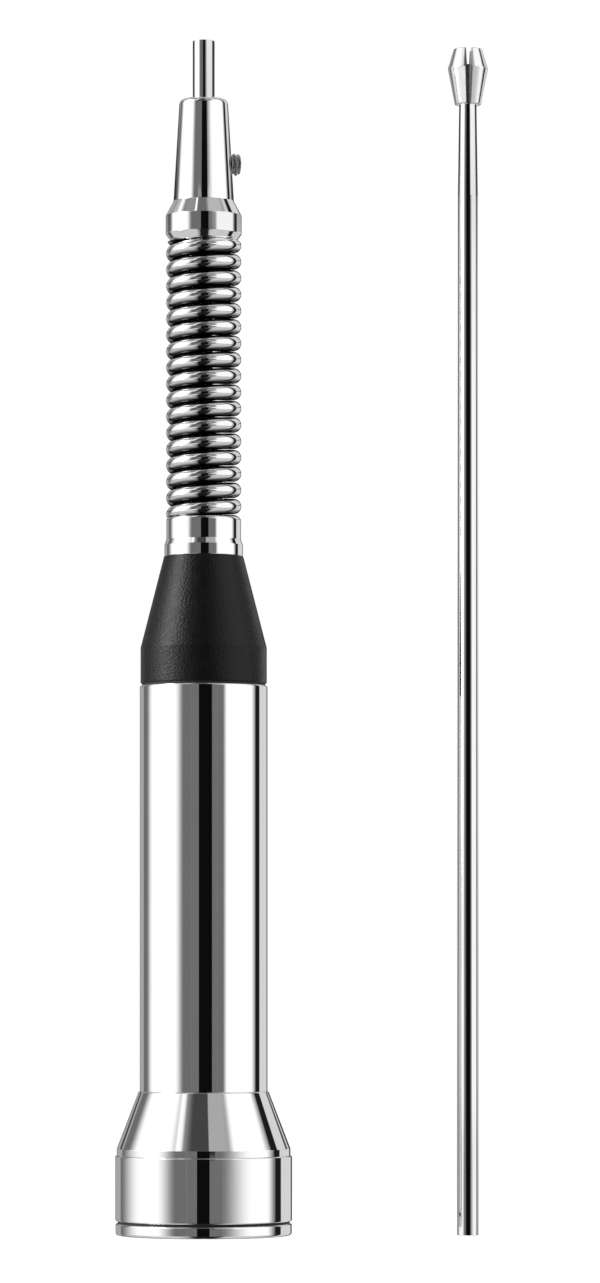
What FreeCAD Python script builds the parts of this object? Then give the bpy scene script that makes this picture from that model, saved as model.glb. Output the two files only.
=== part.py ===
import FreeCAD, Part
import math
import os

# Sizes in millimetres, from the floor up

# foot and coupling
COLLAR_RADIUS = 19.45
COLLAR_HEIGHT = 14.35
COLLAR_EDGE_ROUND = 0.25
FOOT_INSET = 0.05
FOOT_BAND = 1.5
FOOT_HEIGHT = 2.65
FOOT_LOWER_ROUND = 0.8
FOOT_UPPER_ROUND = 0.4
WASHER_THICKNESS = 0.5
WASHER_RECESS = 0.45
THREAD_RADIUS = 13.55
THREAD_RELIEF_DEPTH = 0.65
THREAD_RELIEF_HEIGHT = 2.6
LIP_HEIGHT = 2.9
LIP_PLAY = 0.1
GASKET_WIDTH = 1.9
GASKET_DEPTH = 1.2

# bush and contact inside the coupling
BUSH_RADIUS = 11.5
BUSH_WALL = 3.5
BUSH_DEPTH = 6.0
BUSH_FLANGE_HEIGHT = 2.0
BUSH_FLANGE_CLEARANCE = 0.35
TURNING_CLEARANCE = 0.08
PLUG_NOSE_RADIUS = 5.0
CONTACT_RADIUS = 3.5
CONTACT_HEIGHT = 1.0
CONTACT_RECESS = 0.3
STEM_RADIUS = 2.0

# base cone
LAND_STEP = 0.35
LAND_HEIGHT = 1.55
CONE_HEIGHT = 12.55
CONE_RIM = 0.25
CONE_EDGE_ROUND = 0.25
WEB_THICKNESS = 2.5
SPIGOT_HEIGHT = 8.4
SPIGOT_WALL = 2.5
TUBE_FIT = 0.05
RING_HEIGHT = 2.0
RING_DEPTH = 1.1
RING_LEVEL = 3.5

# tube and coil
TUBE_RADIUS = 14.05
TUBE_WALL = 1.0
TUBE_LENGTH = 89.3
TUBE_EDGE_ROUND = 0.5
SEAL_THICKNESS = 0.5
SEAL_RECESS = 0.5
FORMER_WALL = 2.0
FORMER_FLANGE_HEIGHT = 2.0
FORMER_FLANGE_CLEARANCE = 0.1
COIL_ROOM = 2.5
COIL_WIRE = 1.6
COIL_GAP = 0.1
COIL_TURNS = 9
COIL_BOTTOM_MARGIN = 8.0
COIL_TOP_MARGIN = 7.5
LEAD_RADIUS = 0.7
LEAD_CLEARANCE = 0.1
TAP_RADIUS = 0.5
TAP_BEND = 1.0
TAP_TURN = 1.5

# black cone and its stud
INSULATOR_STEP = 0.15
INSULATOR_STRAIGHT = 7.8
INSULATOR_TAPER = 20.1
INSULATOR_RIM = 0.1
INSULATOR_PLUG = 10.0
STUD_RADIUS = 4.0
STUD_SHOULDER = 2.3
STUD_FLANGE_INSET = 0.1
STUD_FLANGE_HEIGHT = 2.4
STUD_TAIL = 9.0
STUD_THREAD_RADIUS = 2.5
STUD_THREAD_LENGTH = 11.0

# spring and its seat
SPRING_RADIUS = 8.27
SPRING_WIRE_RADIUS = 1.73
SPRING_GAP = 0.13
SPRING_LENGTH = 60.6
SPRING_PHASE = 0.8
SEAT_INSET = 0.05
SEAT_STEP = 0.43
SEAT_LOWER_HEIGHT = 2.5
SEAT_STEP_HEIGHT = 1.2
SEAT_UPPER_HEIGHT = 5.0
SEAT_TOP_ROUND = 0.8
BOSS_LENGTH = 8.0
BOSS_CLEARANCE = 0.2
BRAID_RADIUS = 2.0

# whip holder and its screw
HOLDER_OVERHANG = 0.08
HOLDER_LIP_CHAMFER = 1.25
HOLDER_LIP_HEIGHT = 1.7
HOLDER_BAND_HEIGHT = 4.0
HOLDER_SHOULDER_HEIGHT = 3.2
HOLDER_BODY_HEIGHT = 22.4
HOLDER_NECK_RADIUS = 6.65
HOLDER_TOP_RADIUS = 5.3
HOLDER_TOP_ROUND = 1.1
WHIP_CLEARANCE = 0.05
WHIP_BORE_DEPTH = 27.4
SCREW_RISE = 8.3
SCREW_RADIUS = 2.45
SCREW_CLEARANCE = 0.05
SCREW_LENGTH = 5.0
SCREW_BACKOFF = 0.6
SCREW_HEADING = 13
SCREW_CHAMFER = 0.4
SCREW_SOCKET = 2.5
SCREW_SOCKET_DEPTH = 2.4

# whip in its two lengths
WHIP_RADIUS = 2.4
WHIP_EDGE_ROUND = 0.08
STUB_GRIP = 20.9
STUB_REACH = 12.9
WHIP_OFFSET = 58.15
WHIP_LENGTH = 257.5
WHIP_TAPER_RADIUS = 2.2
WHIP_TAPER_LENGTH = 20.0
WHIP_END_RADIUS = 1.9
TIP_SOCKET = 8.8
TIP_LOWER_HEIGHT = 8.0
TIP_UPPER_HEIGHT = 4.3
TIP_BOTTOM_WALL = 0.95
TIP_WAIST_WALL = 2.5
TIP_TOP_WALL = 1.2
TIP_SLOT_TOP = 1.3
TIP_SLOT_BOTTOM = 0.75
TIP_BACK_WEB = 2.5
TIP_HEADING = 3

# levels and fits of the coupling and the bush in it
foot_radius = COLLAR_RADIUS - FOOT_INSET
foot_inner = foot_radius - FOOT_BAND
gasket_middle = (THREAD_RADIUS + foot_inner) / 2
gasket_inner = gasket_middle - GASKET_WIDTH / 2
gasket_outer = gasket_middle + GASKET_WIDTH / 2
collar_bottom = FOOT_HEIGHT + WASHER_THICKNESS
collar_top = collar_bottom + COLLAR_HEIGHT
lip_bottom = collar_top - LIP_HEIGHT
lip_bore = BUSH_RADIUS + TURNING_CLEARANCE
thread_depth = lip_bottom - THREAD_RELIEF_HEIGHT
relief_radius = THREAD_RADIUS + THREAD_RELIEF_DEPTH
flange_radius = THREAD_RADIUS - BUSH_FLANGE_CLEARANCE
flange_top = lip_bottom - LIP_PLAY
flange_bottom = flange_top - BUSH_FLANGE_HEIGHT
bush_top = collar_top + BUSH_DEPTH
plug_radius = BUSH_RADIUS - BUSH_WALL
contact_bottom = thread_depth + CONTACT_RECESS
plug_bottom = contact_bottom + CONTACT_HEIGHT

# levels and fits of the base cone and the tube
land_radius = COLLAR_RADIUS - LAND_STEP
land_top = collar_top + LAND_HEIGHT
cone_top = land_top + CONE_HEIGHT
cone_top_radius = TUBE_RADIUS + CONE_RIM
web_top = bush_top + WEB_THICKNESS
tube_inner = TUBE_RADIUS - TUBE_WALL
tube_top = cone_top + TUBE_LENGTH
spigot_radius = tube_inner - TUBE_FIT
spigot_top = cone_top + SPIGOT_HEIGHT
cup_radius = spigot_radius - SPIGOT_WALL
ring_inner = tube_inner - RING_DEPTH
ring_bottom = cone_top + RING_LEVEL

# levels and fits of the black cone, the seat and the coil
insulator_bottom = tube_top + SEAL_THICKNESS
insulator_radius = TUBE_RADIUS - INSULATOR_STEP
insulator_shoulder = insulator_bottom + INSULATOR_STRAIGHT
insulator_top = insulator_shoulder + INSULATOR_TAPER
plug_end = insulator_bottom - INSULATOR_PLUG
stud_shoulder = insulator_top - STUD_SHOULDER
stud_top = insulator_top + STUD_THREAD_LENGTH
seat_upper_radius = SPRING_RADIUS - SEAT_INSET
seat_lower_radius = seat_upper_radius + SEAT_STEP
insulator_top_radius = seat_lower_radius + INSULATOR_RIM
seat_step = insulator_top + SEAT_LOWER_HEIGHT
seat_neck = seat_step + SEAT_STEP_HEIGHT
seat_top = seat_neck + SEAT_UPPER_HEIGHT
former_top = plug_end - STUD_FLANGE_HEIGHT
former_radius = cup_radius - COIL_ROOM
former_bore = former_radius - FORMER_WALL
stud_flange_radius = former_radius - STUD_FLANGE_INSET
coil_bottom = web_top + COIL_BOTTOM_MARGIN
coil_top = former_top - COIL_TOP_MARGIN
coil_pitch = (coil_top - coil_bottom) / COIL_TURNS
coil_radius = former_radius + COIL_GAP + COIL_WIRE / 2

# levels and fits of the spring, the holder and the whip
spring_mean = SPRING_RADIUS - SPRING_WIRE_RADIUS
spring_pitch = 2 * SPRING_WIRE_RADIUS + SPRING_GAP
spring_top = seat_top + SPRING_LENGTH
boss_radius = spring_mean - SPRING_WIRE_RADIUS - BOSS_CLEARANCE
lower_boss_top = seat_top + BOSS_LENGTH
upper_boss_bottom = spring_top - BOSS_LENGTH
holder_radius = SPRING_RADIUS + HOLDER_OVERHANG
holder_lip_radius = holder_radius - HOLDER_LIP_CHAMFER
holder_band_bottom = spring_top + HOLDER_LIP_HEIGHT
holder_band_top = holder_band_bottom + HOLDER_BAND_HEIGHT
holder_neck = holder_band_top + HOLDER_SHOULDER_HEIGHT
holder_top = holder_neck + HOLDER_BODY_HEIGHT
whip_bore = WHIP_RADIUS + WHIP_CLEARANCE
whip_floor = holder_top - WHIP_BORE_DEPTH
stub_bottom = holder_top - STUB_GRIP
stub_top = holder_top + STUB_REACH
screw_level = holder_neck + SCREW_RISE
screw_start = WHIP_RADIUS + SCREW_BACKOFF
tip_bottom = WHIP_LENGTH - TIP_SOCKET
tip_waist = tip_bottom + TIP_LOWER_HEIGHT
tip_top = tip_waist + TIP_UPPER_HEIGHT
tip_bottom_radius = WHIP_END_RADIUS + TIP_BOTTOM_WALL
tip_waist_radius = WHIP_END_RADIUS + TIP_WAIST_WALL
tip_top_radius = WHIP_END_RADIUS + TIP_TOP_WALL
taper_start = tip_bottom - WHIP_TAPER_LENGTH

AXIS = FreeCAD.Vector(0, 0, 1)
ORIGIN = FreeCAD.Vector(0, 0, 0)


def turned(corners):
    """Turn a closed outline about the Z axis. A corner is radius, height and, if wanted, its round."""
    stops = []
    count = len(corners)
    for index in range(count):
        before = corners[index - 1]
        here = corners[index]
        after = corners[(index + 1) % count]
        spot = FreeCAD.Vector(here[0], 0, here[1])
        if len(here) == 2:
            stops.append((spot, None, spot))
            continue
        back = (FreeCAD.Vector(before[0], 0, before[1]) - spot).normalize()
        ahead = (FreeCAD.Vector(after[0], 0, after[1]) - spot).normalize()
        half = back.getAngle(ahead) / 2
        reach = here[2] / math.tan(half)
        inward = (back + ahead).normalize()
        middle = spot + inward * (here[2] / math.sin(half) - here[2])
        stops.append((spot + back * reach, middle, spot + ahead * reach))
    edges = []
    for index in range(count):
        start, middle, end = stops[index]
        following = stops[(index + 1) % count][0]
        if middle is not None:
            edges.append(Part.Arc(start, middle, end).toShape())
        edges.append(Part.makeLine(end, following))
    face = Part.Face(Part.Wire(edges))
    return face.revolve(ORIGIN, AXIS, 360)


def rod(radius, bottom, top):
    return Part.makeCylinder(radius, top - bottom, FreeCAD.Vector(0, 0, bottom))


def cross_rod(radius, start, end, level):
    """A round bar along X."""
    place = FreeCAD.Vector(start, 0, level)
    return Part.makeCylinder(radius, end - start, place, FreeCAD.Vector(1, 0, 0))


def wound(section, radius, pitch, turns, bottom):
    """Sweep a closed wire along a right-handed helix that starts on the +X side."""
    path = Part.makeHelix(pitch, pitch * turns, radius)
    shape = Part.Wire(path.Edges).makePipeShell([section], True, True)
    shape.translate(FreeCAD.Vector(0, 0, bottom))
    return shape


def foot_ring():
    return turned([
        (foot_inner, 0),
        (foot_radius, 0, FOOT_LOWER_ROUND),
        (foot_radius, FOOT_HEIGHT, FOOT_UPPER_ROUND),
        (foot_inner, FOOT_HEIGHT),
    ])


def base_gasket():
    return turned([
        (gasket_inner, 0),
        (gasket_outer, 0),
        (gasket_outer, GASKET_DEPTH),
        (gasket_inner, GASKET_DEPTH),
    ])


def groove_washer():
    return turned([
        (foot_inner, FOOT_HEIGHT),
        (foot_radius - WASHER_RECESS, FOOT_HEIGHT),
        (foot_radius - WASHER_RECESS, collar_bottom),
        (foot_inner, collar_bottom),
    ])


def coupling_collar():
    return turned([
        (THREAD_RADIUS, 0),
        (gasket_inner, 0),
        (gasket_inner, GASKET_DEPTH),
        (gasket_outer, GASKET_DEPTH),
        (gasket_outer, 0),
        (foot_inner, 0),
        (foot_inner, collar_bottom),
        (COLLAR_RADIUS, collar_bottom, COLLAR_EDGE_ROUND),
        (COLLAR_RADIUS, collar_top, COLLAR_EDGE_ROUND),
        (lip_bore, collar_top),
        (lip_bore, lip_bottom),
        (relief_radius, lip_bottom),
        (relief_radius, thread_depth),
        (THREAD_RADIUS, thread_depth),
    ])


def flanged_bush():
    return turned([
        (plug_radius, flange_bottom),
        (flange_radius, flange_bottom),
        (flange_radius, flange_top),
        (BUSH_RADIUS, flange_top),
        (BUSH_RADIUS, bush_top),
        (plug_radius, bush_top),
    ])


def contact_insulator():
    return turned([
        (STEM_RADIUS, plug_bottom),
        (plug_radius, plug_bottom),
        (plug_radius, bush_top),
        (PLUG_NOSE_RADIUS, bush_top),
        (PLUG_NOSE_RADIUS, web_top),
        (STEM_RADIUS, web_top),
    ])


def centre_contact():
    head = rod(CONTACT_RADIUS, contact_bottom, plug_bottom)
    stem = rod(STEM_RADIUS, plug_bottom, coil_bottom + LEAD_RADIUS * 3)
    return head.fuse(stem).removeSplitter()


def base_cone():
    return turned([
        (BUSH_RADIUS, collar_top),
        (land_radius, collar_top),
        (land_radius, land_top),
        (cone_top_radius, cone_top, CONE_EDGE_ROUND),
        (spigot_radius, cone_top),
        (spigot_radius, ring_bottom),
        (ring_inner, ring_bottom),
        (ring_inner, ring_bottom + RING_HEIGHT),
        (spigot_radius, ring_bottom + RING_HEIGHT),
        (spigot_radius, spigot_top),
        (cup_radius, spigot_top),
        (cup_radius, web_top),
        (PLUG_NOSE_RADIUS, web_top),
        (PLUG_NOSE_RADIUS, bush_top),
        (BUSH_RADIUS, bush_top),
    ])


def lower_tube_seal():
    return turned([
        (ring_inner, ring_bottom),
        (tube_inner, ring_bottom),
        (tube_inner, ring_bottom + RING_HEIGHT),
        (ring_inner, ring_bottom + RING_HEIGHT),
    ])


def coil_former():
    flange = cup_radius - FORMER_FLANGE_CLEARANCE
    body = turned([
        (former_bore, web_top),
        (flange, web_top),
        (flange, web_top + FORMER_FLANGE_HEIGHT),
        (former_radius, web_top + FORMER_FLANGE_HEIGHT),
        (former_radius, former_top),
        (former_bore, former_top),
    ])
    for level in (coil_bottom, coil_top):
        body = body.cut(cross_rod(LEAD_RADIUS + LEAD_CLEARANCE, 0, former_radius * 2, level))
    return body


def loading_coil():
    half = COIL_WIRE / 2
    corners = [(-half, -half), (half, -half), (half, half), (-half, half), (-half, -half)]
    section = Part.makePolygon([FreeCAD.Vector(coil_radius + x, 0, z) for x, z in corners])
    coil = wound(section, coil_radius, coil_pitch, COIL_TURNS, coil_bottom)
    for level in (coil_bottom, coil_top):
        coil = coil.fuse(cross_rod(LEAD_RADIUS, STEM_RADIUS, coil_radius, level))
    return coil


def tap_lead():
    """A bent wire from the rim of the base cone's spigot to one turn of the coil."""
    level = coil_bottom + coil_pitch * TAP_TURN
    post = -(cup_radius + spigot_radius) / 2
    foot = FreeCAD.Vector(post, 0, spigot_top)
    bend_start = FreeCAD.Vector(post, 0, level - TAP_BEND)
    lean = TAP_BEND * (1 - math.sqrt(0.5))
    bend_middle = FreeCAD.Vector(post + lean, 0, level - lean)
    bend_end = FreeCAD.Vector(post + TAP_BEND, 0, level)
    end = FreeCAD.Vector(-(coil_radius + COIL_WIRE / 2), 0, level)
    path = Part.Wire([
        Part.makeLine(foot, bend_start),
        Part.Arc(bend_start, bend_middle, bend_end).toShape(),
        Part.makeLine(bend_end, end),
    ])
    section = Part.Wire(Part.Circle(foot, AXIS, TAP_RADIUS).toShape())
    return path.makePipeShell([section], True, False)


def housing_tube():
    return turned([
        (tube_inner, cone_top),
        (TUBE_RADIUS, cone_top),
        (TUBE_RADIUS, tube_top, TUBE_EDGE_ROUND),
        (tube_inner, tube_top),
    ])


def upper_seal():
    return turned([
        (spigot_radius, tube_top),
        (TUBE_RADIUS - SEAL_RECESS, tube_top),
        (TUBE_RADIUS - SEAL_RECESS, insulator_bottom),
        (spigot_radius, insulator_bottom),
    ])


def insulator_cone():
    return turned([
        (STUD_RADIUS, plug_end),
        (spigot_radius, plug_end),
        (spigot_radius, insulator_bottom),
        (insulator_radius, insulator_bottom),
        (insulator_radius, insulator_shoulder),
        (insulator_top_radius, insulator_top),
        (STUD_THREAD_RADIUS, insulator_top),
        (STUD_THREAD_RADIUS, stud_shoulder),
        (STUD_RADIUS, stud_shoulder),
    ])


def top_stud():
    return turned([
        (0, former_top - STUD_TAIL),
        (STEM_RADIUS, former_top - STUD_TAIL),
        (STEM_RADIUS, former_top),
        (stud_flange_radius, former_top),
        (stud_flange_radius, plug_end),
        (STUD_RADIUS, plug_end),
        (STUD_RADIUS, stud_shoulder),
        (STUD_THREAD_RADIUS, stud_shoulder),
        (STUD_THREAD_RADIUS, stud_top),
        (0, stud_top),
    ])


def spring_seat():
    return turned([
        (STUD_THREAD_RADIUS, insulator_top),
        (seat_lower_radius, insulator_top),
        (seat_lower_radius, seat_step),
        (seat_upper_radius, seat_neck),
        (seat_upper_radius, seat_top, SEAT_TOP_ROUND),
        (boss_radius, seat_top),
        (boss_radius, lower_boss_top),
        (0, lower_boss_top),
        (0, stud_top),
        (STUD_THREAD_RADIUS, stud_top),
    ])


def spring():
    """Close-wound round wire, its two end turns ground flat."""
    turns = math.ceil(SPRING_LENGTH / spring_pitch) + 2
    bottom = spring_top - SPRING_PHASE + spring_pitch - spring_pitch * turns
    along = FreeCAD.Vector(0, 2 * math.pi * spring_mean, spring_pitch)
    circle = Part.Circle(FreeCAD.Vector(spring_mean, 0, 0), along, SPRING_WIRE_RADIUS)
    coil = wound(Part.Wire(circle.toShape()), spring_mean, spring_pitch, turns, bottom)
    return coil.common(rod(SPRING_RADIUS * 2, seat_top, spring_top))


def spring_braid():
    return rod(BRAID_RADIUS, lower_boss_top, upper_boss_bottom)


def whip_holder():
    body = turned([
        (0, upper_boss_bottom),
        (boss_radius, upper_boss_bottom),
        (boss_radius, spring_top),
        (holder_lip_radius, spring_top),
        (holder_radius, holder_band_bottom),
        (holder_radius, holder_band_top),
        (HOLDER_NECK_RADIUS, holder_neck),
        (HOLDER_TOP_RADIUS, holder_top, HOLDER_TOP_ROUND),
        (whip_bore, holder_top),
        (whip_bore, whip_floor),
        (0, whip_floor),
    ])
    hole = cross_rod(SCREW_RADIUS + SCREW_CLEARANCE, 0, holder_radius * 2, screw_level)
    hole.rotate(ORIGIN, AXIS, SCREW_HEADING)
    return body.cut(hole)


def set_screw():
    body = turned([
        (0, 0),
        (SCREW_RADIUS - SCREW_CHAMFER, 0),
        (SCREW_RADIUS, SCREW_CHAMFER),
        (SCREW_RADIUS, SCREW_LENGTH - SCREW_CHAMFER),
        (SCREW_RADIUS - SCREW_CHAMFER, SCREW_LENGTH),
        (0, SCREW_LENGTH),
    ])
    corner = SCREW_SOCKET / math.sqrt(3)
    floor = SCREW_LENGTH - SCREW_SOCKET_DEPTH
    angles = [math.radians(60 * side) for side in range(7)]
    outline = [FreeCAD.Vector(corner * math.cos(a), corner * math.sin(a), floor) for a in angles]
    socket = Part.Face(Part.makePolygon(outline)).extrude(AXIS * SCREW_SOCKET_DEPTH)
    screw = body.cut(socket)
    screw.rotate(ORIGIN, FreeCAD.Vector(0, 1, 0), 90)
    screw.translate(FreeCAD.Vector(screw_start, 0, screw_level))
    screw.rotate(ORIGIN, AXIS, SCREW_HEADING)
    return screw


def whip_lower():
    return turned([
        (0, stub_bottom),
        (WHIP_RADIUS, stub_bottom, WHIP_EDGE_ROUND),
        (WHIP_RADIUS, stub_top, WHIP_EDGE_ROUND),
        (0, stub_top),
    ])


def whip_upper():
    whip = turned([
        (0, 0),
        (WHIP_RADIUS, 0, WHIP_EDGE_ROUND),
        (WHIP_TAPER_RADIUS, taper_start),
        (WHIP_END_RADIUS, tip_bottom),
        (WHIP_END_RADIUS, WHIP_LENGTH),
        (0, WHIP_LENGTH),
    ])
    whip.translate(FreeCAD.Vector(WHIP_OFFSET, 0, 0))
    return whip


def whip_tip():
    """Split double cone; the slot runs the full height in front and stops at a web behind."""
    body = turned([
        (WHIP_END_RADIUS, tip_bottom),
        (tip_bottom_radius, tip_bottom),
        (tip_waist_radius, tip_waist),
        (tip_top_radius, tip_top),
        (WHIP_END_RADIUS, tip_top),
    ])
    outline = [
        FreeCAD.Vector(-TIP_SLOT_BOTTOM / 2, 0, tip_bottom),
        FreeCAD.Vector(TIP_SLOT_BOTTOM / 2, 0, tip_bottom),
        FreeCAD.Vector(TIP_SLOT_TOP / 2, 0, tip_top),
        FreeCAD.Vector(-TIP_SLOT_TOP / 2, 0, tip_top),
        FreeCAD.Vector(-TIP_SLOT_BOTTOM / 2, 0, tip_bottom),
    ]
    face = Part.Face(Part.makePolygon(outline))
    front = face.extrude(FreeCAD.Vector(0, -tip_waist_radius * 2, 0))
    behind = face.extrude(FreeCAD.Vector(0, tip_waist_radius * 2, 0))
    behind = behind.cut(rod(tip_waist_radius * 4, tip_bottom, tip_bottom + TIP_BACK_WEB))
    tip = body.cut(front).cut(behind)
    tip.rotate(ORIGIN, AXIS, TIP_HEADING)
    tip.translate(FreeCAD.Vector(WHIP_OFFSET, 0, 0))
    return tip


PIECES = [
    foot_ring,
    base_gasket,
    groove_washer,
    coupling_collar,
    flanged_bush,
    contact_insulator,
    centre_contact,
    base_cone,
    lower_tube_seal,
    coil_former,
    loading_coil,
    tap_lead,
    housing_tube,
    upper_seal,
    insulator_cone,
    top_stud,
    spring_seat,
    spring,
    spring_braid,
    whip_holder,
    set_screw,
    whip_lower,
    whip_upper,
    whip_tip,
]

os.makedirs("parts", exist_ok=True)
for piece in PIECES:
    shape = piece()
    if shape.ShapeType != "Solid" and len(shape.Solids) == 1:
        shape = shape.Solids[0]
    shape.exportStep("parts/" + piece.__name__ + ".step")
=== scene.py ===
import bpy
import bmesh
import math
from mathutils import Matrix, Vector


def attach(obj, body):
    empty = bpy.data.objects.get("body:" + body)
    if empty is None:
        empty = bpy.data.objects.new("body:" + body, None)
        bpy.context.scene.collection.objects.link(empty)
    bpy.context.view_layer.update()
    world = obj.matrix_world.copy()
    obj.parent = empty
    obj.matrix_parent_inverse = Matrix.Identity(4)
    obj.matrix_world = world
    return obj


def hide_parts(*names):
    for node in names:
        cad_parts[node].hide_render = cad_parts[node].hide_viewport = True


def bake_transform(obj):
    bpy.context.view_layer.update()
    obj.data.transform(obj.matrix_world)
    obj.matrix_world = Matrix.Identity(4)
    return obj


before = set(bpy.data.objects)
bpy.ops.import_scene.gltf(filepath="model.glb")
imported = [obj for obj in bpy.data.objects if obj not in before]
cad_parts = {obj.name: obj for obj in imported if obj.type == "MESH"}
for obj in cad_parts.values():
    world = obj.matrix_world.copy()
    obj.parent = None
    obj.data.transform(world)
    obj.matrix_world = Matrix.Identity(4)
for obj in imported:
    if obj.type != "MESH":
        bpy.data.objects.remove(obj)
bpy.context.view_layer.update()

# Sizes in millimetres, the same as the construction's

MM = 0.001
SAME_SIZE = 1e-6

# How finely round pieces are divided
ROUND_SEGMENTS = 224
ROD_SEGMENTS = 128
TIP_SEGMENTS = 160
SCREW_SEGMENTS = 72
DRILL_SEGMENTS = 64
BRAID_SEGMENTS = 96
FLOOR_SEGMENTS = 128

# The edges of turned pieces are rounded, with one more row of points just beyond each round
EDGE = 0.07
EDGE_SHARE = 0.4
SUPPORT = 0.06
SUPPORT_SHARE = 0.09
ARC_STEP = math.radians(12)
ARC_LEAST_STEPS = 3
CUT_SHARP_ANGLE = math.radians(40)
SCREW_SHARP_ANGLE = math.radians(50)

COLLAR_RADIUS = 19.45
COLLAR_BOTTOM = 3.15
COLLAR_TOP = 17.5
COLLAR_ROUND = 0.25
FOOT_RADIUS = 19.4
FOOT_INNER = 17.9
FOOT_HEIGHT = 2.65
FOOT_LOWER_ROUND = 0.8
FOOT_UPPER_ROUND = 0.4
GASKET_INNER = 14.775
GASKET_OUTER = 16.675
GASKET_DEPTH = 1.2
THREAD_RADIUS = 13.55
THREAD_DEPTH = 12.0
THREAD_PITCH = 1.411
THREAD_GROOVE = 0.55
THREAD_ROWS = 8
THREAD_RUN_OUT = 0.5
THREAD_LEAD_IN = 0.4
THREAD_LEAD_DEPTH = 0.2
RELIEF_RADIUS = 14.2
LIP_BOTTOM = 14.6
LIP_BORE = 11.58

LAND_RADIUS = 19.1
LAND_TOP = 19.05
CONE_TOP = 31.6
CONE_TOP_RADIUS = 14.3
CONE_TOP_ROUND = 0.25
SPIGOT_RADIUS = 13.0
SPIGOT_TOP = 40.0
CUP_RADIUS = 10.5
RING_INNER = 11.95
RING_BOTTOM = 35.1
RING_TOP = 37.1
WEB_BOTTOM = 23.5
WEB_TOP = 26.0
BUSH_RADIUS = 11.5
NOSE_RADIUS = 5.0

TUBE_RADIUS = 14.05
TUBE_INNER = 13.05
TUBE_TOP = 120.9
TUBE_TOP_ROUND = 0.5
INSULATOR_RADIUS = 13.9
INSULATOR_BOTTOM = 121.4
INSULATOR_SHOULDER = 129.2
INSULATOR_TOP = 149.3
INSULATOR_TOP_RADIUS = 8.75
INSULATOR_BOTTOM_ROUND = 0.2
INSULATOR_SHOULDER_ROUND = 0.6
INSULATOR_TOP_ROUND = 0.15
PLUG_END = 111.4
STUD_RADIUS = 4.0
STUD_SHOULDER = 147.0
STUD_THREAD_RADIUS = 2.5
STUD_TOP = 160.3

SEAT_LOWER_RADIUS = 8.65
SEAT_UPPER_RADIUS = 8.22
SEAT_STEP = 151.8
SEAT_NECK = 153.0
SEAT_TOP = 158.0
SEAT_BOTTOM_ROUND = 0.15
SEAT_STEP_ROUND = 0.12
SEAT_TOP_ROUND = 0.8
BOSS_RADIUS = 4.61
LOWER_BOSS_TOP = 166.0
UPPER_BOSS_BOTTOM = 210.6

SPRING_MEAN = 6.54
SPRING_WIRE = 1.73
SPRING_PITCH = 3.59
SPRING_BOTTOM = 158.0
SPRING_TOP = 218.6
SPRING_START = 217.8
SPRING_STEPS = 128
SPRING_SIDES = 32
SPRING_OVERRUN = 0.9
SPRING_CUT_TURN = -7.75
# Where the painted shade on the wire's upper and under side starts and is full, from 0 at its side to 1 at
# its crown: painted shade where the turns meet and a painted shadow under each turn
PAINTED_SHADE_OVER = (0.84, 0.96)
PAINTED_SHADE_UNDER = (0.42, 0.66)
BRAID_RADIUS = 2.0
BRAID_STRANDS = 8
BRAID_LAY = 9.0
BRAID_RELIEF = 0.06
BRAID_ROWS_PER_MM = 6
BRAID_LEAST_ROWS = 8
BRAID_CUT = 188.3

HOLDER_LIP_RADIUS = 7.1
HOLDER_RADIUS = 8.35
HOLDER_BAND_BOTTOM = 220.3
HOLDER_BAND_TOP = 224.3
HOLDER_NECK = 227.5
HOLDER_NECK_RADIUS = 6.65
HOLDER_TOP = 249.9
HOLDER_TOP_RADIUS = 5.3
HOLDER_TOP_ROUND = 1.1
HOLDER_LIP_ROUND = 0.3
HOLDER_BAND_ROUND = 0.12
WHIP_BORE = 2.45
WHIP_FLOOR = 222.5
SCREW_LEVEL = 235.8
SCREW_HOLE = 2.5
DRILL_LENGTH = 20.0
SCREW_RADIUS = 2.45
SCREW_START = 3.0
SCREW_HEADING = math.radians(13)
SCREW_LENGTH = 5.0
SCREW_PITCH = 1.058
SCREW_GROOVE = 0.5
SCREW_ROWS = 10
SCREW_CHAMFER = 0.4
SCREW_SOCKET = 2.5
SCREW_SOCKET_DEPTH = 2.4
SOCKET_EDGE = 0.04
SOCKET_NEAR = 0.05

WHIP_RADIUS = 2.4
WHIP_ROUND = 0.08
STUB_BOTTOM = 229.0
STUB_TOP = 262.8
WHIP_X = 58.15
WHIP_LENGTH = 257.5
WHIP_TAPER_START = 228.7
WHIP_TAPER_RADIUS = 2.2
WHIP_TAPER_ROUND = 3.0
WHIP_END_RADIUS = 1.9
TIP_BOTTOM = 248.7
TIP_WAIST = 256.7
TIP_TOP = 261.0
TIP_BOTTOM_RADIUS = 2.85
TIP_WAIST_RADIUS = 4.4
TIP_TOP_RADIUS = 3.1
TIP_BOTTOM_ROUND = 0.3
TIP_WAIST_ROUND = 0.1
TIP_TOP_ROUND = 0.15
TIP_SLOT_TOP = 1.3
TIP_SLOT_BOTTOM = 0.75
TIP_BACK_WEB = 2.5
SLOT_OVERRUN = 1.0
SLOT_OVERLAP = 0.5
SLOT_REACH = 9.0
SLOT_WALL_REACH = 0.9
SLOT_WALL_FACING = 0.9
TIP_HEADING = math.radians(3)


# Meshes

def mesh_object(name, points, faces):
    """A smooth-shaded mesh object from points in millimetres."""
    mesh = bpy.data.meshes.new(name)
    mesh.from_pydata([[value * MM for value in point] for point in points], [], faces)
    work = bmesh.new()
    work.from_mesh(mesh)
    bmesh.ops.recalc_face_normals(work, faces=work.faces)
    work.to_mesh(mesh)
    work.free()
    mesh.shade_smooth()
    made = bpy.data.objects.new(name, mesh)
    bpy.context.scene.collection.objects.link(made)
    return made


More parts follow.
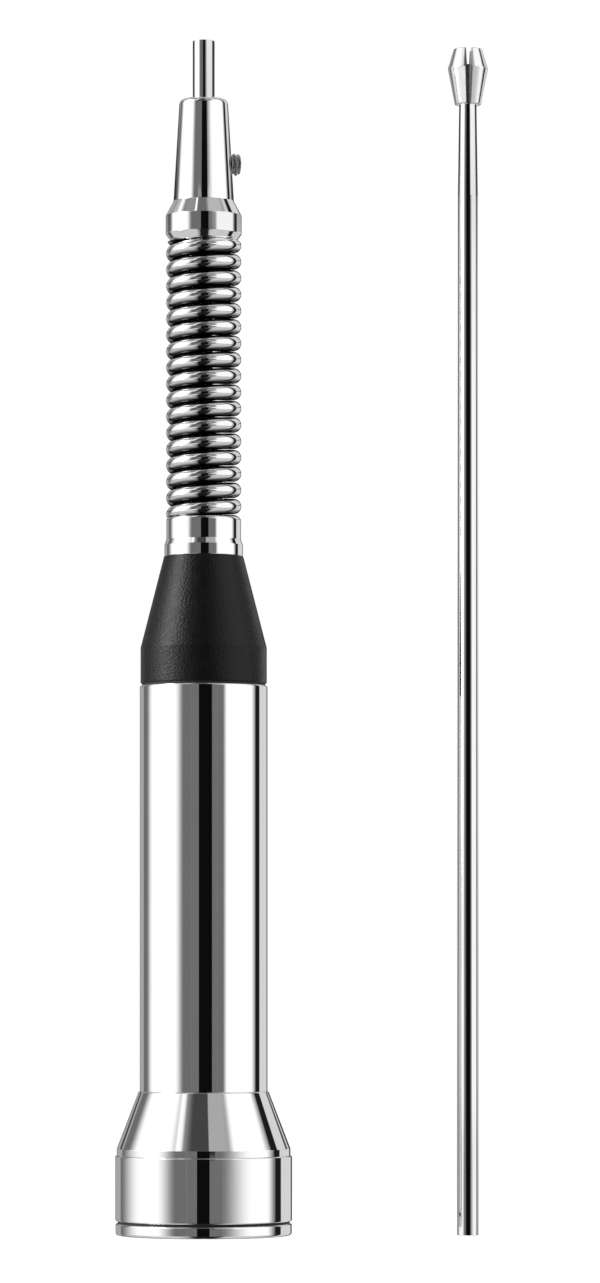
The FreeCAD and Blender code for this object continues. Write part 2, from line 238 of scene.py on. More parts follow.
def rounded(corners, closed=True):
    """The points of a turned outline. A corner is radius, height and, if wanted, its round."""
    points = []
    count = len(corners)
    for index, corner in enumerate(corners):
        spot = Vector(corner[:2])
        if not closed and index in (0, count - 1):
            points.append(spot)
            continue
        back = Vector(corners[index - 1][:2]) - spot
        ahead = Vector(corners[(index + 1) % count][:2]) - spot
        half = back.angle(ahead) / 2
        size = corner[2] if len(corner) > 2 else EDGE
        reach = min(size / math.tan(half), back.length * EDGE_SHARE, ahead.length * EDGE_SHARE)
        size = reach * math.tan(half)
        start = spot + back.normalized() * reach
        end = spot + ahead.normalized() * reach
        support = min(SUPPORT, back.length * SUPPORT_SHARE, ahead.length * SUPPORT_SHARE)
        centre = spot + (back.normalized() + ahead.normalized()).normalized() * (size / math.sin(half))
        sweep = math.pi - 2 * half
        steps = max(ARC_LEAST_STEPS, math.ceil(sweep / ARC_STEP))
        points.append(start + back.normalized() * support)
        first = start - centre
        turn = math.copysign(sweep, first.cross(end - centre))
        for step in range(steps + 1):
            angle = turn * step / steps
            across = first.x * math.cos(angle) - first.y * math.sin(angle)
            along = first.x * math.sin(angle) + first.y * math.cos(angle)
            points.append(centre + Vector((across, along)))
        points.append(end + ahead.normalized() * support)
    return points


def turned(name, outline, closed=True, segments=ROUND_SEGMENTS, x=0.0, shape=None):
    """Turn an outline of radius and height about a vertical axis at x."""
    points = []
    rows = []
    for spot in outline:
        if spot.x < SAME_SIZE:
            rows.append([len(points)] * segments)
            points.append((x, 0.0, spot.y))
            continue
        row = []
        for segment in range(segments):
            angle = 2 * math.pi * segment / segments
            radius, height = shape(spot.x, spot.y, angle) if shape else (spot.x, spot.y)
            row.append(len(points))
            points.append((x + radius * math.cos(angle), radius * math.sin(angle), height))
        rows.append(row)
    if closed:
        rows.append(rows[0])
    faces = []
    for lower, upper in zip(rows, rows[1:]):
        for segment in range(segments):
            following = (segment + 1) % segments
            ring = [lower[segment], lower[following], upper[following], upper[segment]]
            face = list(dict.fromkeys(ring))
            if len(face) > 2:
                faces.append(face)
    return mesh_object(name, points, faces)


def cut(piece, cutter):
    """Take the cutter's shape out of a piece and remove the cutter."""
    change = piece.modifiers.new("cut", "BOOLEAN")
    change.operation = "DIFFERENCE"
    change.solver = "EXACT"
    change.object = cutter
    view = bpy.context.evaluated_depsgraph_get()
    result = bpy.data.meshes.new_from_object(piece.evaluated_get(view))
    piece.modifiers.clear()
    piece.data = result
    bpy.data.objects.remove(cutter)
    piece.data.shade_smooth()
    piece.data.set_sharp_from_angle(angle=CUT_SHARP_ANGLE)


def wedge(name, lower_half, upper_half, bottom, top, near, far):
    """A bar across the tip whose width changes with height, for a slot."""
    points = []
    for y in (near, far):
        points += [(-lower_half, y, bottom), (lower_half, y, bottom)]
        points += [(upper_half, y, top), (-upper_half, y, top)]
    faces = [(0, 1, 2, 3), (4, 5, 6, 7), (0, 1, 5, 4), (1, 2, 6, 5), (2, 3, 7, 6), (3, 0, 4, 7)]
    bar = mesh_object(name, points, faces)
    bar.location.x = WHIP_X * MM
    bar.rotation_euler.z = TIP_HEADING
    return bar


def wire_section(turn, low, high):
    """One section of the spring's wire, cut flat where it passes the two end planes."""
    angle = 2 * math.pi * turn
    middle = SPRING_START + SPRING_PITCH * turn
    slope = math.atan2(SPRING_PITCH, 2 * math.pi * SPRING_MEAN)
    points = []
    for side in range(SPRING_SIDES):
        around = 2 * math.pi * side / SPRING_SIDES
        out = SPRING_WIRE * math.cos(around)
        rise = SPRING_WIRE * math.sin(around)
        level = middle + rise * math.cos(slope)
        for plane, beyond in ((low, level < low), (high, level > high)):
            if beyond:
                gap = min(abs(plane - middle) / math.cos(slope), SPRING_WIRE)
                chord = math.sqrt(SPRING_WIRE ** 2 - gap ** 2)
                out = max(-chord, min(chord, out))
                rise = (plane - middle) / math.cos(slope)
        lean = -rise * math.sin(slope)
        radius = SPRING_MEAN + out
        px = radius * math.cos(angle) - lean * math.sin(angle)
        py = radius * math.sin(angle) + lean * math.cos(angle)
        points.append((px, py, middle + rise * math.cos(slope)))
    return points


def spring_run(name, start, end):
    """A run of the spring's wire between two turns, closed at both ends."""
    steps = max(2, round((end - start) * SPRING_STEPS))
    points = []
    faces = []
    for step in range(steps + 1):
        turn = start + (end - start) * step / steps
        points += wire_section(turn, SPRING_BOTTOM, SPRING_TOP)
    for step in range(steps):
        for side in range(SPRING_SIDES):
            following = (side + 1) % SPRING_SIDES
            base = step * SPRING_SIDES
            above = base + SPRING_SIDES
            faces.append((base + side, base + following, above + following, above + side))
    faces.append(tuple(range(SPRING_SIDES)))
    faces.append(tuple(range(steps * SPRING_SIDES, (steps + 1) * SPRING_SIDES)))
    run = mesh_object(name, points, faces)
    # Painted shade: each point of the wire holds how dark it is painted, where the turns meet and under each
    # turn
    painted_shade = run.data.attributes.new("painted_shade", "FLOAT", "POINT")
    for index in range(len(points)):
        facing = math.sin(2 * math.pi * (index % SPRING_SIDES) / SPRING_SIDES)
        onset, full = PAINTED_SHADE_OVER if facing > 0 else PAINTED_SHADE_UNDER
        share = max(0.0, min(1.0, (abs(facing) - onset) / (full - onset)))
        painted_shade.data[index].value = share * share * (3 - 2 * share)
    return run


def braid_run(name, bottom, top):
    """A run of woven wire: two sets of strands wound opposite ways stand out in turn."""
    rows = max(BRAID_LEAST_ROWS, round((top - bottom) * BRAID_ROWS_PER_MM))
    outline = [Vector((0.0, bottom))]
    outline += [Vector((BRAID_RADIUS, bottom + (top - bottom) * row / rows)) for row in range(rows + 1)]
    outline += [Vector((0.0, top))]

    def weave(radius, height, angle):
        twist = height * 2 * math.pi / BRAID_LAY
        one = math.cos(BRAID_STRANDS * (angle + twist))
        other = math.cos(BRAID_STRANDS * (angle - twist))
        return radius * (1 - BRAID_RELIEF + BRAID_RELIEF * max(one, other)), height

    return turned(name, outline, closed=False, segments=BRAID_SEGMENTS, shape=weave)


# Materials

# The places of a Mix node's inputs and outputs
MIX_FACTOR = 0
MIX_FIRST_NUMBER = 2
MIX_SECOND_NUMBER = 3
MIX_NUMBER_OUT = 0
MIX_FIRST_COLOUR = 6
MIX_SECOND_COLOUR = 7
MIX_COLOUR_OUT = 2

# Nearly all of a noise lies between these two values
NOISE_LOW = 0.3
NOISE_HIGH = 0.7

# The near-black of the painted shade on the spring's wire
PAINTED_SHADE_COLOUR = (0.02, 0.02, 0.02, 1)
GRAIN_SCALE = 2100.0
FINE_GRAIN_SHARE = 0.8
PLASTIC_SPECULAR = 0.3
PLAIN_SPREAD = 0.06
PLAIN_FINENESS = 5


def link(tree, source, socket):
    """Join a node's output to an input, or set the input to a value."""
    if isinstance(source, bpy.types.NodeSocket):
        tree.links.new(source, socket)
    else:
        socket.default_value = source


def math_node(tree, operation, *inputs):
    """The result of one step of arithmetic."""
    made = tree.nodes.new("ShaderNodeMath")
    made.operation = operation
    for index, value in enumerate(inputs):
        link(tree, value, made.inputs[index])
    return made.outputs[0]


def ranged(tree, value, low, high, start, end, smooth=False):
    """A value carried over from the range low to high to the range start to end."""
    made = tree.nodes.new("ShaderNodeMapRange")
    if smooth:
        made.interpolation_type = "SMOOTHSTEP"
    inputs = {"Value": value, "From Min": low, "From Max": high, "To Min": start, "To Max": end}
    for key, given in inputs.items():
        link(tree, given, made.inputs[key])
    return made.outputs["Result"]


def noise(tree, place, scale, detail=2.0, roughness=0.5):
    """Soft noise over the surface."""
    made = tree.nodes.new("ShaderNodeTexNoise")
    link(tree, place, made.inputs["Vector"])
    made.inputs["Scale"].default_value = scale
    made.inputs["Detail"].default_value = detail
    made.inputs["Roughness"].default_value = roughness
    return made.outputs["Fac"]


def stretched(tree, place, across, along):
    """A place scaled by one amount across the axis and by another along it."""
    made = tree.nodes.new("ShaderNodeMapping")
    link(tree, place, made.inputs["Vector"])
    made.inputs["Scale"].default_value = (across, across, along)
    return made.outputs["Vector"]


def mixed_numbers(tree, factor, first, second):
    """A number between two others."""
    made = tree.nodes.new("ShaderNodeMix")
    link(tree, factor, made.inputs[MIX_FACTOR])
    link(tree, first, made.inputs[MIX_FIRST_NUMBER])
    link(tree, second, made.inputs[MIX_SECOND_NUMBER])
    return made.outputs[MIX_NUMBER_OUT]


def mixed_colours(tree, factor, first, second):
    """A colour between two others."""
    made = tree.nodes.new("ShaderNodeMix")
    made.data_type = "RGBA"
    link(tree, factor, made.inputs[MIX_FACTOR])
    link(tree, first, made.inputs[MIX_FIRST_COLOUR])
    link(tree, second, made.inputs[MIX_SECOND_COLOUR])
    return made.outputs[MIX_COLOUR_OUT]


def new_material(name, metallic):
    """A material with its node tree, its shader and the place on the surface."""
    material = bpy.data.materials.new(name)
    material.use_nodes = True
    tree = material.node_tree
    shader = tree.nodes["Principled BSDF"]
    shader.inputs["Metallic"].default_value = metallic
    place = tree.nodes.new("ShaderNodeTexCoord").outputs["Object"]
    return material, tree, shader, place


def coloured(tree, shader, factor, first, second):
    """Let the base colour wander between two colours."""
    colour = mixed_colours(tree, factor, (*first, 1), (*second, 1))
    link(tree, colour, shader.inputs["Base Color"])


def roughened(tree, shader, factor, low, high):
    """Let the roughness wander between two values."""
    roughness = ranged(tree, factor, NOISE_LOW, NOISE_HIGH, low, high)
    link(tree, roughness, shader.inputs["Roughness"])


def bumped(tree, shader, height, strength, distance):
    """Give the surface a relief that is too fine for its mesh."""
    made = tree.nodes.new("ShaderNodeBump")
    link(tree, height, made.inputs["Height"])
    made.inputs["Strength"].default_value = strength
    made.inputs["Distance"].default_value = distance
    link(tree, made.outputs["Normal"], shader.inputs["Normal"])


def polished(name, dull, bright, roughness, spread, ripple):
    """Plated or ground metal: faint clouding, uneven polish and a very shallow ripple."""
    material, tree, shader, place = new_material(name, metallic=1.0)
    cloud = noise(tree, stretched(tree, place, across=1.0, along=0.35), scale=160.0, detail=3.0)
    coloured(tree, shader, cloud, dull, bright)
    wear = noise(tree, place, scale=900.0, detail=4.0, roughness=0.6)
    roughened(tree, shader, wear, roughness - spread, roughness + spread)
    wave = noise(tree, place, scale=260.0)
    bumped(tree, shader, wave, strength=ripple, distance=0.0002)
    return material


def sprung(name):
    """Plated spring wire with painted shade where the turns meet and under each turn."""
    material = polished(
        name, dull=(0.86, 0.86, 0.865), bright=(0.92, 0.92, 0.925),
        roughness=0.05, spread=0.015, ripple=0.006,
    )
    tree = material.node_tree
    colour = tree.nodes["Principled BSDF"].inputs["Base Color"]
    plated = colour.links[0].from_socket
    # Painted shade: the plating darkens by the shade stored on the wire's points
    painted_shade = tree.nodes.new("ShaderNodeAttribute")
    painted_shade.attribute_name = "painted_shade"
    link(tree, mixed_colours(tree, painted_shade.outputs["Fac"], plated, PAINTED_SHADE_COLOUR), colour)
    return material


def grained_plastic(name):
    """Moulded black plastic with a leather-like grain."""
    material, tree, shader, place = new_material(name, metallic=0.0)
    grain = tree.nodes.new("ShaderNodeTexVoronoi")
    grain.feature = "SMOOTH_F1"
    link(tree, place, grain.inputs["Vector"])
    grain.inputs["Scale"].default_value = GRAIN_SCALE
    fine = noise(tree, place, scale=3800.0, detail=3.0, roughness=0.6)
    fine = math_node(tree, "MULTIPLY", fine, FINE_GRAIN_SHARE)
    height = math_node(tree, "ADD", grain.outputs["Distance"], fine)
    bumped(tree, shader, height, strength=0.4, distance=0.00016)
    patches = noise(tree, place, scale=420.0)
    coloured(tree, shader, patches, (0.0025, 0.0025, 0.0025), (0.005, 0.005, 0.005))
    roughened(tree, shader, patches, low=0.30, high=0.38)
    shader.inputs["Specular IOR Level"].default_value = PLASTIC_SPECULAR
    return material


def blackened(name):
    """Black-oxide steel, worn a little lighter in places."""
    material, tree, shader, place = new_material(name, metallic=1.0)
    wear = noise(tree, place, scale=1500.0, detail=4.0, roughness=0.6)
    coloured(tree, shader, wear, (0.32, 0.32, 0.325), (0.48, 0.48, 0.485))
    roughened(tree, shader, wear, low=0.10, high=0.18)
    return material


def plain_stuff(name, first, second, metallic, roughness, scale, relief):
    """Rubber, turned brass, copper wire, white insulator or braid: mottled, with a fine surface."""
    material, tree, shader, place = new_material(name, metallic)
    mottle = noise(tree, place, scale, detail=3.0)
    coloured(tree, shader, mottle, first, second)
    roughened(tree, shader, mottle, roughness - PLAIN_SPREAD, roughness + PLAIN_SPREAD)
    fine = noise(tree, place, scale * PLAIN_FINENESS, detail=3.0)
    bumped(tree, shader, fine, strength=relief, distance=0.00005)
    return material


MATERIALS = {
    "chrome": polished(
        "chrome", dull=(0.90, 0.90, 0.905), bright=(0.93, 0.93, 0.935),
        roughness=0.03, spread=0.008, ripple=0.003,
    ),
    "spring_chrome": sprung("spring_chrome"),
    "whip_steel": polished(
        "whip_steel", dull=(0.80, 0.80, 0.805), bright=(0.88, 0.88, 0.885),
        roughness=0.06, spread=0.015, ripple=0.001,
    ),
    "satin_chrome": polished(
        "satin_chrome", dull=(0.84, 0.84, 0.845), bright=(0.90, 0.90, 0.905),
        roughness=0.12, spread=0.03, ripple=0.004,
    ),
    # Darker, duller steel for the faces inside the tip's slot: painted shade
    "slot_shade_steel": polished(
        "slot_shade_steel", dull=(0.34, 0.34, 0.342), bright=(0.42, 0.42, 0.422),
        roughness=0.36, spread=0.06, ripple=0.01,
    ),
    "black_plastic": grained_plastic("black_plastic"),
    "black_screw": blackened("black_screw"),
    "rubber": plain_stuff(
        "rubber", first=(0.008, 0.008, 0.008), second=(0.016, 0.016, 0.016),
        metallic=0.0, roughness=0.6, scale=900.0, relief=0.3,
    ),
    "brass": plain_stuff(
        "brass", first=(0.62, 0.44, 0.16), second=(0.74, 0.55, 0.24),
        metallic=1.0, roughness=0.25, scale=500.0, relief=0.1,
    ),
    "copper": plain_stuff(
        "copper", first=(0.66, 0.30, 0.17), second=(0.78, 0.40, 0.24),
        metallic=1.0, roughness=0.28, scale=700.0, relief=0.1,
    ),
    "white_insulator": plain_stuff(
        "white_insulator", first=(0.72, 0.72, 0.70), second=(0.80, 0.80, 0.78),
        metallic=0.0, roughness=0.45, scale=400.0, relief=0.1,
    ),
    "braid": plain_stuff(
        "braid", first=(0.40, 0.38, 0.35), second=(0.58, 0.56, 0.53),
        metallic=1.0, roughness=0.35, scale=2500.0, relief=0.5,
    ),
}


# Pieces

def finished(piece, slot, body, *nodes, look=None):
    """Give a piece its finish and let it ride on a body in place of CAD nodes."""
    piece.data.materials.clear()
    piece.data.materials.append(MATERIALS[look or slot])
    if body:
        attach(piece, body)
    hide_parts(*nodes)
    return piece


def paint_slot_shade(piece, chosen):
    """Give the faces that a test picks a darker, duller steel: painted shade in the tip's slot."""
    piece.data.materials.append(MATERIALS["slot_shade_steel"])
    for face in piece.data.polygons:
        if chosen(face):
            face.material_index = 1


def build_coupling():
    """The foot's rim, and the collar with the thread in its bore."""
    foot = rounded([
        (FOOT_INNER, 0),
        (FOOT_RADIUS, 0, FOOT_LOWER_ROUND),
        (FOOT_RADIUS, FOOT_HEIGHT, FOOT_UPPER_ROUND),
        (FOOT_INNER, FOOT_HEIGHT),
    ])
    finished(turned("foot_rim", foot), "chrome", "coupling", "foot_ring")

    def threaded(radius, height, angle):
        if abs(radius - THREAD_RADIUS) > SAME_SIZE:
            return radius, height
        phase = (height / THREAD_PITCH - angle / (2 * math.pi)) % 1.0
        run_out = (THREAD_DEPTH - height) / THREAD_RUN_OUT
        lead_in = height / THREAD_LEAD_IN + THREAD_LEAD_DEPTH
        fade = min(1.0, run_out, lead_in)
        return radius + THREAD_GROOVE * fade * (1 - abs(2 * phase - 1)), height

    outside = rounded([
        (THREAD_RADIUS, 0),
        (GASKET_INNER, 0),
        (GASKET_INNER, GASKET_DEPTH),
        (GASKET_OUTER, GASKET_DEPTH),
        (GASKET_OUTER, 0),
        (FOOT_INNER, 0),
        (FOOT_INNER, COLLAR_BOTTOM),
        (COLLAR_RADIUS, COLLAR_BOTTOM, COLLAR_ROUND),
        (COLLAR_RADIUS, COLLAR_TOP, COLLAR_ROUND),
        (LIP_BORE, COLLAR_TOP),
        (LIP_BORE, LIP_BOTTOM),
        (RELIEF_RADIUS, LIP_BOTTOM),
        (RELIEF_RADIUS, THREAD_DEPTH),
        (THREAD_RADIUS, THREAD_DEPTH),
    ], closed=False)
    rows = THREAD_ROWS * math.ceil(THREAD_DEPTH / THREAD_PITCH)
    bore = [Vector((THREAD_RADIUS, THREAD_DEPTH * (1 - row / rows))) for row in range(1, rows)]
    finished(turned("collar", outside + bore, shape=threaded), "chrome", "coupling", "coupling_collar")


def build_base():
    """The cone, the tube, the black cone and the ferrule under the spring."""
    cone = rounded([
        (BUSH_RADIUS, COLLAR_TOP),
        (LAND_RADIUS, COLLAR_TOP),
        (LAND_RADIUS, LAND_TOP),
        (CONE_TOP_RADIUS, CONE_TOP, CONE_TOP_ROUND),
        (SPIGOT_RADIUS, CONE_TOP),
        (SPIGOT_RADIUS, RING_BOTTOM),
        (RING_INNER, RING_BOTTOM),
        (RING_INNER, RING_TOP),
        (SPIGOT_RADIUS, RING_TOP),
        (SPIGOT_RADIUS, SPIGOT_TOP),
        (CUP_RADIUS, SPIGOT_TOP),
        (CUP_RADIUS, WEB_TOP),
        (NOSE_RADIUS, WEB_TOP),
        (NOSE_RADIUS, WEB_BOTTOM),
        (BUSH_RADIUS, WEB_BOTTOM),
    ])
    finished(turned("cone", cone), "chrome", "base", "base_cone")
    tube = rounded([
        (TUBE_INNER, CONE_TOP),
        (TUBE_RADIUS, CONE_TOP),
        (TUBE_RADIUS, TUBE_TOP, TUBE_TOP_ROUND),
        (TUBE_INNER, TUBE_TOP),
    ])
    finished(turned("tube", tube), "chrome", "base", "housing_tube")
    insulator = rounded([
        (STUD_RADIUS, PLUG_END),
        (SPIGOT_RADIUS, PLUG_END),
        (SPIGOT_RADIUS, INSULATOR_BOTTOM),
        (INSULATOR_RADIUS, INSULATOR_BOTTOM, INSULATOR_BOTTOM_ROUND),
        (INSULATOR_RADIUS, INSULATOR_SHOULDER, INSULATOR_SHOULDER_ROUND),
        (INSULATOR_TOP_RADIUS, INSULATOR_TOP, INSULATOR_TOP_ROUND),
        (STUD_THREAD_RADIUS, INSULATOR_TOP),
        (STUD_THREAD_RADIUS, STUD_SHOULDER),
        (STUD_RADIUS, STUD_SHOULDER),
    ])
    finished(turned("black_cone", insulator), "black_plastic", "base", "insulator_cone")
    seat = rounded([
        (0, STUD_TOP),
        (STUD_THREAD_RADIUS, STUD_TOP),
        (STUD_THREAD_RADIUS, INSULATOR_TOP),
        (SEAT_LOWER_RADIUS, INSULATOR_TOP, SEAT_BOTTOM_ROUND),
        (SEAT_LOWER_RADIUS, SEAT_STEP, SEAT_STEP_ROUND),
        (SEAT_UPPER_RADIUS, SEAT_NECK, SEAT_STEP_ROUND),
        (SEAT_UPPER_RADIUS, SEAT_TOP, SEAT_TOP_ROUND),
        (BOSS_RADIUS, SEAT_TOP),
        (BOSS_RADIUS, LOWER_BOSS_TOP),
        (0, LOWER_BOSS_TOP),
    ], closed=False)
    finished(turned("ferrule", seat, closed=False), "chrome", "base", "spring_seat")


def build_spring():
    """The spring and the braid in it, each in two runs."""
    low = (SPRING_BOTTOM - SPRING_WIRE * SPRING_OVERRUN - SPRING_START) / SPRING_PITCH
    high = (SPRING_TOP + SPRING_WIRE * SPRING_OVERRUN - SPRING_START) / SPRING_PITCH
    lower = spring_run("spring_lower", low, SPRING_CUT_TURN)
    upper = spring_run("spring_upper", SPRING_CUT_TURN, high)
    braid_lower = braid_run("braid_lower", LOWER_BOSS_TOP, BRAID_CUT)
    braid_upper = braid_run("braid_upper", BRAID_CUT, UPPER_BOSS_BOTTOM)
    for piece, slot, node in ((lower, "spring_chrome", "spring"), (braid_lower, "braid", "spring_braid")):
        finished(piece, slot, None, node)
        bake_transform(piece)
    for piece, slot, node in ((upper, "spring_chrome", "spring"), (braid_upper, "braid", "spring_braid")):
        finished(piece, slot, None, node)
        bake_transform(piece)


def build_holder():
    """The tapered holder with the hole for its side screw."""
    outline = rounded([
        (0, UPPER_BOSS_BOTTOM),
        (BOSS_RADIUS, UPPER_BOSS_BOTTOM),
        (BOSS_RADIUS, SPRING_TOP),
        (HOLDER_LIP_RADIUS, SPRING_TOP),
        (HOLDER_RADIUS, HOLDER_BAND_BOTTOM, HOLDER_LIP_ROUND),
        (HOLDER_RADIUS, HOLDER_BAND_TOP, HOLDER_BAND_ROUND),
        (HOLDER_NECK_RADIUS, HOLDER_NECK, HOLDER_BAND_ROUND),
        (HOLDER_TOP_RADIUS, HOLDER_TOP, HOLDER_TOP_ROUND),
        (WHIP_BORE, HOLDER_TOP),
        (WHIP_BORE, WHIP_FLOOR),
        (0, WHIP_FLOOR),
    ], closed=False)
    holder = turned("holder_body", outline, closed=False)
    bar = [Vector((0, 0)), Vector((SCREW_HOLE, 0))]
    bar += [Vector((SCREW_HOLE, DRILL_LENGTH)), Vector((0, DRILL_LENGTH))]
    drill = turned("drill", bar, closed=False, segments=DRILL_SEGMENTS)
    drill.rotation_euler = (0, math.pi / 2, SCREW_HEADING)
    drill.location = (0, 0, SCREW_LEVEL * MM)
    cut(holder, drill)
    finished(holder, "chrome", "holder", "whip_holder")


def build_screw():
    """A threaded screw along X with a hex socket in its outer end."""
    rows = SCREW_ROWS * math.ceil(SCREW_LENGTH / SCREW_PITCH)
    end_radius = SCREW_RADIUS - SCREW_CHAMFER
    hexagon = SCREW_SOCKET / 2
    socket_floor = SCREW_LENGTH - SCREW_SOCKET_DEPTH
    outline = [Vector((0, 0)), Vector((end_radius, 0))]
    outline += [Vector((SCREW_RADIUS, SCREW_LENGTH * row / rows)) for row in range(1, rows)]
    outline += [Vector((end_radius, SCREW_LENGTH))]
    outline += [Vector((hexagon + SOCKET_EDGE, SCREW_LENGTH)), Vector((hexagon, SCREW_LENGTH - SOCKET_EDGE))]
    outline += [Vector((hexagon, socket_floor + SOCKET_EDGE)), Vector((hexagon - SOCKET_EDGE, socket_floor))]
    outline += [Vector((0, socket_floor))]

    def screwed(radius, height, angle):
        if abs(radius - hexagon) < SOCKET_NEAR:
            side = (angle + math.pi / 6) % (math.pi / 3) - math.pi / 6
            return radius / math.cos(side), height
        if abs(radius - SCREW_RADIUS) > SAME_SIZE:
            return radius, height
        phase = (height / SCREW_PITCH - angle / (2 * math.pi)) % 1.0
        groove = SCREW_GROOVE * (0.5 - 0.5 * math.cos(2 * math.pi * phase))
        end = min(height, SCREW_LENGTH - height)
        chamfer = max(0.0, SCREW_CHAMFER - end)
        return radius - max(groove, chamfer), height

    screw = turned("side_screw_thread", outline, closed=False, segments=SCREW_SEGMENTS, shape=screwed)
    screw.data.set_sharp_from_angle(angle=SCREW_SHARP_ANGLE)
    screw.rotation_euler = (0, math.pi / 2, SCREW_HEADING)
    out = SCREW_START * MM
    screw.location = (out * math.cos(SCREW_HEADING), out * math.sin(SCREW_HEADING), SCREW_LEVEL * MM)
    finished(screw, "black_screw", "side_screw", "set_screw")


def build_whip():
    """The short rod in the holder, and the upper length that stands by itself with its split tip."""
    stub = rounded([
        (0, STUB_BOTTOM),
        (WHIP_RADIUS, STUB_BOTTOM, WHIP_ROUND),
        (WHIP_RADIUS, STUB_TOP, WHIP_ROUND),
        (0, STUB_TOP),
    ], closed=False)
    lower = turned("whip_stub", stub, closed=False, segments=ROD_SEGMENTS)
    finished(lower, "whip_steel", "whip", "whip_lower")
    rod = rounded([
        (0, 0),
        (WHIP_RADIUS, 0, WHIP_ROUND),
        (WHIP_TAPER_RADIUS, WHIP_TAPER_START, WHIP_TAPER_ROUND),
        (WHIP_END_RADIUS, TIP_BOTTOM, WHIP_TAPER_ROUND),
        (WHIP_END_RADIUS, WHIP_LENGTH),
        (0, WHIP_LENGTH),
    ], closed=False)
    upper = turned("whip_rod", rod, closed=False, segments=ROD_SEGMENTS, x=WHIP_X)
    finished(upper, "whip_steel", "base", "whip_upper")
    # Painted shade: the rod inside the tip, seen through its slot, gets the darker, duller steel
    paint_slot_shade(upper, lambda face: face.center.z > TIP_BOTTOM * MM)
    tip_outline = rounded([
        (WHIP_END_RADIUS, TIP_BOTTOM),
        (TIP_BOTTOM_RADIUS, TIP_BOTTOM, TIP_BOTTOM_ROUND),
        (TIP_WAIST_RADIUS, TIP_WAIST, TIP_WAIST_ROUND),
        (TIP_TOP_RADIUS, TIP_TOP, TIP_TOP_ROUND),
        (WHIP_END_RADIUS, TIP_TOP),
    ])
    tip = turned("tip_split", tip_outline, segments=TIP_SEGMENTS, x=WHIP_X)
    slope = (TIP_SLOT_TOP - TIP_SLOT_BOTTOM) / 2 / (TIP_TOP - TIP_BOTTOM)
    under = TIP_SLOT_BOTTOM / 2 - slope * SLOT_OVERRUN
    over = TIP_SLOT_TOP / 2 + slope * SLOT_OVERRUN
    web = TIP_SLOT_BOTTOM / 2 + slope * TIP_BACK_WEB
    above = TIP_TOP + SLOT_OVERRUN
    cut(tip, wedge("front_slot", under, over, TIP_BOTTOM - SLOT_OVERRUN, above, -SLOT_REACH, 0))
    cut(tip, wedge("back_slot", web, over, TIP_BOTTOM + TIP_BACK_WEB, above, -SLOT_OVERLAP, SLOT_REACH))
    finished(tip, "chrome", "base", "whip_tip", look="satin_chrome")

    def slot_wall(face):
        inside = abs(face.center.x - WHIP_X * MM) < SLOT_WALL_REACH * MM
        return inside and abs(face.normal.x) > SLOT_WALL_FACING

    # Painted shade: the slot's walls get the darker, duller steel
    paint_slot_shade(tip, slot_wall)
    # The base doesn't mirror the rod and its tip, as in the photograph.
    tip.visible_glossy = False
    upper.visible_glossy = False


def dress_cad_nodes():
    """The pieces that the construction already shows in full only take their finish."""
    worn = {
        "rubber": ("groove_washer", "base_gasket", "upper_seal", "lower_tube_seal"),
        "brass": ("flanged_bush", "centre_contact", "top_stud"),
        "white_insulator": ("contact_insulator", "coil_former"),
        "copper": ("loading_coil", "tap_lead"),
    }
    for slot, names in worn.items():
        for name in names:
            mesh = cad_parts[name].data
            mesh.materials.clear()
            mesh.materials.append(MATERIALS[slot])


# Studio, in metres and degrees

# Elevation below which the softboxes fade towards the table
FADE = -1.75
# Edges of the dark wall round the camera, and of the opening that the camera looks through
WALL_LEFT = -21.5
WALL_RIGHT = 26
OPENING_LEFT = -7.6
OPENING_RIGHT = 15.9
LOW_OPENING_LEFT = -6.6
LOW_OPENING_RIGHT = 8.6

